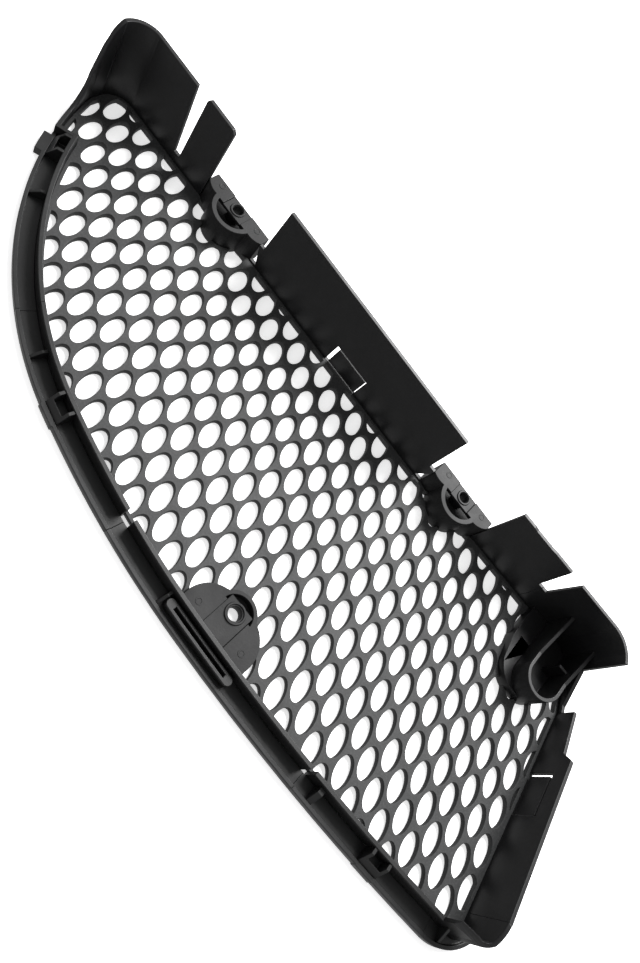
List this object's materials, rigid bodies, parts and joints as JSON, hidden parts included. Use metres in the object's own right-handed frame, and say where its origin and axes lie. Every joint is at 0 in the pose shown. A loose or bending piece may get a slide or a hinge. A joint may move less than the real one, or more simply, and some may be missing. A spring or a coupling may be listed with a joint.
{
  "type": "front bumper side grille",
  "caption": "Moulded front bumper side grille: flat oval-hole mesh in a ring of slotted flanges, with screw ears, guide socket, snap tongues and a curved snap-in edge rail.",
  "frame": {"origin": "middle of the outline, on the visible face of the mesh", "axes": "+X along the long upper flange towards the rounded end flange, +Y across the panel towards the long upper flange, +Z out of the mounting side, away from the road"},
  "size_m": [0.4419, 0.1759, 0.054],
  "materials": {
    "flange_plastic": "black moulded polypropylene, satin",
    "face_plastic": "charcoal moulded polypropylene, fine grain"
  },
  "bodies": {
    "moulding": {"left_wing": "flange_plastic", "left_tab": "flange_plastic", "upper_flange": "flange_plastic", "middle_flange": "flange_plastic", "right_wing": "flange_plastic", "corner_wall": "flange_plastic", "end_flange": "flange_plastic", "end_corner": "flange_plastic", "rail_wall_left": "flange_plastic", "rail_wall_lower": "flange_plastic", "rail_wall_middle": "flange_plastic", "rail_wall_right": "flange_plastic", "rail_lip_left": "flange_plastic", "rail_lip_lower": "flange_plastic", "rail_lip_middle": "flange_plastic", "rail_lip_right": "flange_plastic", "rail_lip_end": "flange_plastic", "catch_left": "flange_plastic", "catch_lower": "flange_plastic", "catch_right": "flange_plastic", "channel_ribs": "flange_plastic", "slit_hook": "flange_plastic", "end_gusset": "flange_plastic", "clip_guide": "flange_plastic", "mesh_panel": "face_plastic", "ear_left": "face_plastic", "nut_seat_left": "face_plastic", "ear_middle": "face_plastic", "nut_seat_middle": "face_plastic", "ear_lower": "face_plastic", "nut_seat_lower": "face_plastic", "socket_base": "face_plastic", "guide_socket": "face_plastic", "socket_rib": "face_plastic"},
    "tongue_upper": {"snap_tongue_upper": "flange_plastic"},
    "tongue_end": {"snap_tongue_end": "flange_plastic"}
  },
  "joints": [
    {"name": "tongue_upper_flex", "type": "hinge", "parent": "moulding", "child": "tongue_upper", "pos_m": [-0.015, 0.0787, 0.01085], "axis": [0, 0, 1], "range_deg": [0, 5], "stiffness_Nm_per_rad": 2.9},
    {"name": "tongue_end_flex", "type": "hinge", "parent": "moulding", "child": "tongue_end", "pos_m": [0.20347, -0.00661, 0.0121], "axis": [0, 0, 1], "range_deg": [0, 5], "stiffness_Nm_per_rad": 2.9}
  ]
}
